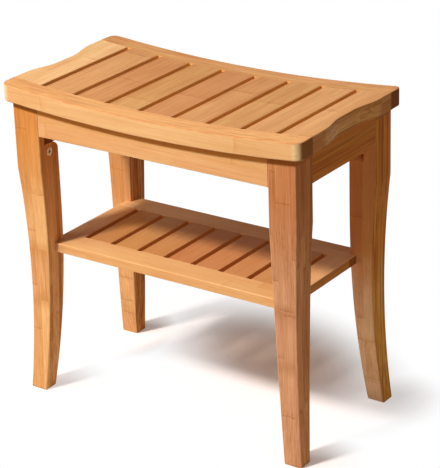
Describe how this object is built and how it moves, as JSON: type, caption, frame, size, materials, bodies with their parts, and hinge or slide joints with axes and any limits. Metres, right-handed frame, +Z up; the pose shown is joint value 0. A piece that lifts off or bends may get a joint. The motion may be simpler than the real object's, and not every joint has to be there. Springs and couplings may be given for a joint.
{
  "type": "shower stool",
  "caption": "Free-standing bamboo bath stool with a dipped slatted seat, grip recesses at its ends, curved tapered legs, aprons and a slatted lower shelf.",
  "frame": {"origin": "on the floor, under the middle of the seat", "axes": "+X along the seat to its right end, +Y from the front to the rear, +Z up"},
  "size_m": [0.475, 0.252, 0.457],
  "materials": {
    "bamboo_straw": "satin",
    "bamboo_honey": "satin",
    "bamboo_amber": "satin",
    "bamboo_russet": "satin",
    "steel": "satin"
  },
  "bodies": {
    "root": {"seat_front_rail": "bamboo_straw", "seat_rear_rail": "bamboo_straw", "shelf_front_rail": "bamboo_straw", "shelf_rear_rail": "bamboo_straw", "apron_dowels": "bamboo_straw", "seat_end_board_left": "bamboo_honey", "seat_end_board_right": "bamboo_honey", "shelf_end_board_left": "bamboo_honey", "shelf_end_board_right": "bamboo_honey", "front_apron": "bamboo_honey", "rear_apron": "bamboo_honey", "seat_slat_1": "bamboo_honey", "seat_slat_3": "bamboo_honey", "seat_slat_5": "bamboo_honey", "seat_slat_7": "bamboo_honey", "shelf_slat_1": "bamboo_honey", "shelf_slat_3": "bamboo_honey", "shelf_slat_5": "bamboo_honey", "shelf_slat_7": "bamboo_honey", "seat_slat_2": "bamboo_amber", "seat_slat_4": "bamboo_amber", "seat_slat_6": "bamboo_amber", "shelf_slat_2": "bamboo_amber", "shelf_slat_4": "bamboo_amber", "shelf_slat_6": "bamboo_amber", "leg_front_left": "bamboo_amber", "leg_front_right": "bamboo_amber", "leg_rear_left": "bamboo_amber", "leg_rear_right": "bamboo_amber", "left_apron": "bamboo_russet", "right_apron": "bamboo_russet", "corner_block_front_left": "bamboo_russet", "corner_block_front_right": "bamboo_russet", "corner_block_rear_left": "bamboo_russet", "corner_block_rear_right": "bamboo_russet", "leg_cam_locks": "steel", "leg_connecting_bolts": "steel", "shelf_cam_locks": "steel", "shelf_connecting_bolts": "steel", "corner_block_screws": "steel"}
  },
  "joints": []
}
